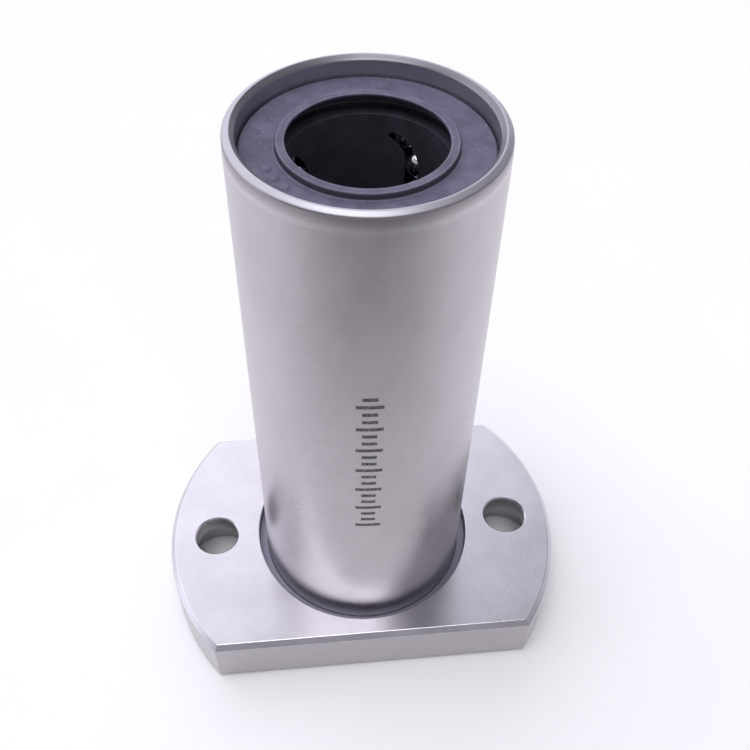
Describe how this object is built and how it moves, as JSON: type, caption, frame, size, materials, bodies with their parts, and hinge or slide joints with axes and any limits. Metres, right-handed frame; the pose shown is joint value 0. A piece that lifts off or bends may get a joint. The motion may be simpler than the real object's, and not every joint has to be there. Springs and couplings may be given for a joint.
{
  "type": "linear ball bushing",
  "caption": "Long flanged linear ball bushing for a 12 mm shaft: steel sleeve, flange with two flat sides, sealed ends and caged recirculating ball circuits.",
  "frame": {"origin": "centre of the flange's outer face, on the bore's axis", "axes": "+Z along the bore from the flange's outer face to the free end, +X through the two screw holes, +Y across the two flats"},
  "size_m": [0.042, 0.027, 0.057],
  "materials": {
    "sleeve_steel": "ground bearing steel, satin",
    "flange_steel": "fine turned and polished steel",
    "ring_steel": "stamped steel",
    "ball_steel": "polished hardened steel",
    "cage_resin": "moulded resin",
    "seal_rubber": "moulded, fine matte grain"
  },
  "bodies": {
    "housing": {"outer_sleeve": "sleeve_steel", "flange": "flange_steel", "side_ring_flange": "ring_steel", "side_ring_free": "ring_steel", "end_seal_flange": "seal_rubber", "end_seal_free": "seal_rubber", "retainer_flange": "cage_resin", "retainer_free": "cage_resin"},
    "load_row_flange_1": {"load_row_flange_1": "ball_steel"},
    "return_row_flange_1": {"return_row_flange_1": "ball_steel"},
    "top_turn_flange_1": {"top_turn_flange_1": "ball_steel"},
    "bottom_turn_flange_1": {"bottom_turn_flange_1": "ball_steel"},
    "load_row_flange_2": {"load_row_flange_2": "ball_steel"},
    "return_row_flange_2": {"return_row_flange_2": "ball_steel"},
    "top_turn_flange_2": {"top_turn_flange_2": "ball_steel"},
    "bottom_turn_flange_2": {"bottom_turn_flange_2": "ball_steel"},
    "load_row_flange_3": {"load_row_flange_3": "ball_steel"},
    "return_row_flange_3": {"return_row_flange_3": "ball_steel"},
    "top_turn_flange_3": {"top_turn_flange_3": "ball_steel"},
    "bottom_turn_flange_3": {"bottom_turn_flange_3": "ball_steel"},
    "load_row_flange_4": {"load_row_flange_4": "ball_steel"},
    "return_row_flange_4": {"return_row_flange_4": "ball_steel"},
    "top_turn_flange_4": {"top_turn_flange_4": "ball_steel"},
    "bottom_turn_flange_4": {"bottom_turn_flange_4": "ball_steel"},
    "load_row_free_1": {"load_row_free_1": "ball_steel"},
    "return_row_free_1": {"return_row_free_1": "ball_steel"},
    "top_turn_free_1": {"top_turn_free_1": "ball_steel"},
    "bottom_turn_free_1": {"bottom_turn_free_1": "ball_steel"},
    "load_row_free_2": {"load_row_free_2": "ball_steel"},
    "return_row_free_2": {"return_row_free_2": "ball_steel"},
    "top_turn_free_2": {"top_turn_free_2": "ball_steel"},
    "bottom_turn_free_2": {"bottom_turn_free_2": "ball_steel"},
    "load_row_free_3": {"load_row_free_3": "ball_steel"},
    "return_row_free_3": {"return_row_free_3": "ball_steel"},
    "top_turn_free_3": {"top_turn_free_3": "ball_steel"},
    "bottom_turn_free_3": {"bottom_turn_free_3": "ball_steel"},
    "load_row_free_4": {"load_row_free_4": "ball_steel"},
    "return_row_free_4": {"return_row_free_4": "ball_steel"},
    "top_turn_free_4": {"top_turn_free_4": "ball_steel"},
    "bottom_turn_free_4": {"bottom_turn_free_4": "ball_steel"}
  },
  "joints": [
    {"name": "load_row_flange_1_slide", "type": "slide", "parent": "housing", "child": "load_row_flange_1", "axis": [0, 0, 1], "range_m": [-0.0024, 0]},
    {"name": "return_row_flange_1_slide", "type": "slide", "parent": "housing", "child": "return_row_flange_1", "axis": [0, 0, 1], "range_m": [0, 0.0024]},
    {"name": "top_turn_flange_1_swing", "type": "hinge", "parent": "housing", "child": "top_turn_flange_1", "pos_m": [0.00243, 0.00659, 0.0241], "axis": [-0.4452, -0.8785, 0.1736], "range_deg": [-60.01, 0]},
    {"name": "bottom_turn_flange_1_swing", "type": "hinge", "parent": "housing", "child": "bottom_turn_flange_1", "pos_m": [0.00243, 0.00659, 0.0073], "axis": [-0.4452, -0.8785, -0.1736], "range_deg": [-60.01, 0]},
    {"name": "load_row_flange_2_slide", "type": "slide", "parent": "housing", "child": "load_row_flange_2", "axis": [0, 0, 1], "range_m": [-0.0024, 0]},
    {"name": "return_row_flange_2_slide", "type": "slide", "parent": "housing", "child": "return_row_flange_2", "axis": [0, 0, 1], "range_m": [0, 0.0024]},
    {"name": "top_turn_flange_2_swing", "type": "hinge", "parent": "housing", "child": "top_turn_flange_2", "pos_m": [-0.00659, 0.00243, 0.0241], "axis": [0.8785, -0.4452, 0.1736], "range_deg": [-60.01, 0]},
    {"name": "bottom_turn_flange_2_swing", "type": "hinge", "parent": "housing", "child": "bottom_turn_flange_2", "pos_m": [-0.00659, 0.00243, 0.0073], "axis": [0.8785, -0.4452, -0.1736], "range_deg": [-60.01, 0]},
    {"name": "load_row_flange_3_slide", "type": "slide", "parent": "housing", "child": "load_row_flange_3", "axis": [0, 0, 1], "range_m": [-0.0024, 0]},
    {"name": "return_row_flange_3_slide", "type": "slide", "parent": "housing", "child": "return_row_flange_3", "axis": [0, 0, 1], "range_m": [0, 0.0024]},
    {"name": "top_turn_flange_3_swing", "type": "hinge", "parent": "housing", "child": "top_turn_flange_3", "pos_m": [-0.00243, -0.00659, 0.0241], "axis": [0.4452, 0.8785, 0.1736], "range_deg": [-60.01, 0]},
    {"name": "bottom_turn_flange_3_swing", "type": "hinge", "parent": "housing", "child": "bottom_turn_flange_3", "pos_m": [-0.00243, -0.00659, 0.0073], "axis": [0.4452, 0.8785, -0.1736], "range_deg": [-60.01, 0]},
    {"name": "load_row_flange_4_slide", "type": "slide", "parent": "housing", "child": "load_row_flange_4", "axis": [0, 0, 1], "range_m": [-0.0024, 0]},
    {"name": "return_row_flange_4_slide", "type": "slide", "parent": "housing", "child": "return_row_flange_4", "axis": [0, 0, 1], "range_m": [0, 0.0024]},
    {"name": "top_turn_flange_4_swing", "type": "hinge", "parent": "housing", "child": "top_turn_flange_4", "pos_m": [0.00659, -0.00243, 0.0241], "axis": [-0.8785, 0.4452, 0.1736], "range_deg": [-60.01, 0]},
    {"name": "bottom_turn_flange_4_swing", "type": "hinge", "parent": "housing", "child": "bottom_turn_flange_4", "pos_m": [0.00659, -0.00243, 0.0073], "axis": [-0.8785, 0.4452, -0.1736], "range_deg": [-60.01, 0]},
    {"name": "load_row_free_1_slide", "type": "slide", "parent": "housing", "child": "load_row_free_1", "axis": [0, 0, 1], "range_m": [-0.0024, 0]},
    {"name": "return_row_free_1_slide", "type": "slide", "parent": "housing", "child": "return_row_free_1", "axis": [0, 0, 1], "range_m": [0, 0.0024]},
    {"name": "top_turn_free_1_swing", "type": "hinge", "parent": "housing", "child": "top_turn_free_1", "pos_m": [0.00243, 0.00659, 0.0497], "axis": [-0.4452, -0.8785, 0.1736], "range_deg": [-60.01, 0]},
    {"name": "bottom_turn_free_1_swing", "type": "hinge", "parent": "housing", "child": "bottom_turn_free_1", "pos_m": [0.00243, 0.00659, 0.0329], "axis": [-0.4452, -0.8785, -0.1736], "range_deg": [-60.01, 0]},
    {"name": "load_row_free_2_slide", "type": "slide", "parent": "housing", "child": "load_row_free_2", "axis": [0, 0, 1], "range_m": [-0.0024, 0]},
    {"name": "return_row_free_2_slide", "type": "slide", "parent": "housing", "child": "return_row_free_2", "axis": [0, 0, 1], "range_m": [0, 0.0024]},
    {"name": "top_turn_free_2_swing", "type": "hinge", "parent": "housing", "child": "top_turn_free_2", "pos_m": [-0.00659, 0.00243, 0.0497], "axis": [0.8785, -0.4452, 0.1736], "range_deg": [-60.01, 0]},
    {"name": "bottom_turn_free_2_swing", "type": "hinge", "parent": "housing", "child": "bottom_turn_free_2", "pos_m": [-0.00659, 0.00243, 0.0329], "axis": [0.8785, -0.4452, -0.1736], "range_deg": [-60.01, 0]},
    {"name": "load_row_free_3_slide", "type": "slide", "parent": "housing", "child": "load_row_free_3", "axis": [0, 0, 1], "range_m": [-0.0024, 0]},
    {"name": "return_row_free_3_slide", "type": "slide", "parent": "housing", "child": "return_row_free_3", "axis": [0, 0, 1], "range_m": [0, 0.0024]},
    {"name": "top_turn_free_3_swing", "type": "hinge", "parent": "housing", "child": "top_turn_free_3", "pos_m": [-0.00243, -0.00659, 0.0497], "axis": [0.4452, 0.8785, 0.1736], "range_deg": [-60.01, 0]},
    {"name": "bottom_turn_free_3_swing", "type": "hinge", "parent": "housing", "child": "bottom_turn_free_3", "pos_m": [-0.00243, -0.00659, 0.0329], "axis": [0.4452, 0.8785, -0.1736], "range_deg": [-60.01, 0]},
    {"name": "load_row_free_4_slide", "type": "slide", "parent": "housing", "child": "load_row_free_4", "axis": [0, 0, 1], "range_m": [-0.0024, 0]},
    {"name": "return_row_free_4_slide", "type": "slide", "parent": "housing", "child": "return_row_free_4", "axis": [0, 0, 1], "range_m": [0, 0.0024]},
    {"name": "top_turn_free_4_swing", "type": "hinge", "parent": "housing", "child": "top_turn_free_4", "pos_m": [0.00659, -0.00243, 0.0497], "axis": [-0.8785, 0.4452, 0.1736], "range_deg": [-60.01, 0]},
    {"name": "bottom_turn_free_4_swing", "type": "hinge", "parent": "housing", "child": "bottom_turn_free_4", "pos_m": [0.00659, -0.00243, 0.0329], "axis": [-0.8785, 0.4452, -0.1736], "range_deg": [-60.01, 0]}
  ],
  "couplings": [
    {"joint": "return_row_flange_1_slide", "follows": "load_row_flange_1_slide", "ratio": -1},
    {"joint": "top_turn_flange_1_swing", "follows": "load_row_flange_1_slide", "rad_per_m": 436.33},
    {"joint": "bottom_turn_flange_1_swing", "follows": "load_row_flange_1_slide", "rad_per_m": 436.33},
    {"joint": "return_row_flange_2_slide", "follows": "load_row_flange_2_slide", "ratio": -1},
    {"joint": "top_turn_flange_2_swing", "follows": "load_row_flange_2_slide", "rad_per_m": 436.33},
    {"joint": "bottom_turn_flange_2_swing", "follows": "load_row_flange_2_slide", "rad_per_m": 436.33},
    {"joint": "return_row_flange_3_slide", "follows": "load_row_flange_3_slide", "ratio": -1},
    {"joint": "top_turn_flange_3_swing", "follows": "load_row_flange_3_slide", "rad_per_m": 436.33},
    {"joint": "bottom_turn_flange_3_swing", "follows": "load_row_flange_3_slide", "rad_per_m": 436.33},
    {"joint": "return_row_flange_4_slide", "follows": "load_row_flange_4_slide", "ratio": -1},
    {"joint": "top_turn_flange_4_swing", "follows": "load_row_flange_4_slide", "rad_per_m": 436.33},
    {"joint": "bottom_turn_flange_4_swing", "follows": "load_row_flange_4_slide", "rad_per_m": 436.33},
    {"joint": "return_row_free_1_slide", "follows": "load_row_free_1_slide", "ratio": -1},
    {"joint": "top_turn_free_1_swing", "follows": "load_row_free_1_slide", "rad_per_m": 436.33},
    {"joint": "bottom_turn_free_1_swing", "follows": "load_row_free_1_slide", "rad_per_m": 436.33},
    {"joint": "return_row_free_2_slide", "follows": "load_row_free_2_slide", "ratio": -1},
    {"joint": "top_turn_free_2_swing", "follows": "load_row_free_2_slide", "rad_per_m": 436.33},
    {"joint": "bottom_turn_free_2_swing", "follows": "load_row_free_2_slide", "rad_per_m": 436.33},
    {"joint": "return_row_free_3_slide", "follows": "load_row_free_3_slide", "ratio": -1},
    {"joint": "top_turn_free_3_swing", "follows": "load_row_free_3_slide", "rad_per_m": 436.33},
    {"joint": "bottom_turn_free_3_swing", "follows": "load_row_free_3_slide", "rad_per_m": 436.33},
    {"joint": "return_row_free_4_slide", "follows": "load_row_free_4_slide", "ratio": -1},
    {"joint": "top_turn_free_4_swing", "follows": "load_row_free_4_slide", "rad_per_m": 436.33},
    {"joint": "bottom_turn_free_4_swing", "follows": "load_row_free_4_slide", "rad_per_m": 436.33}
  ]
}
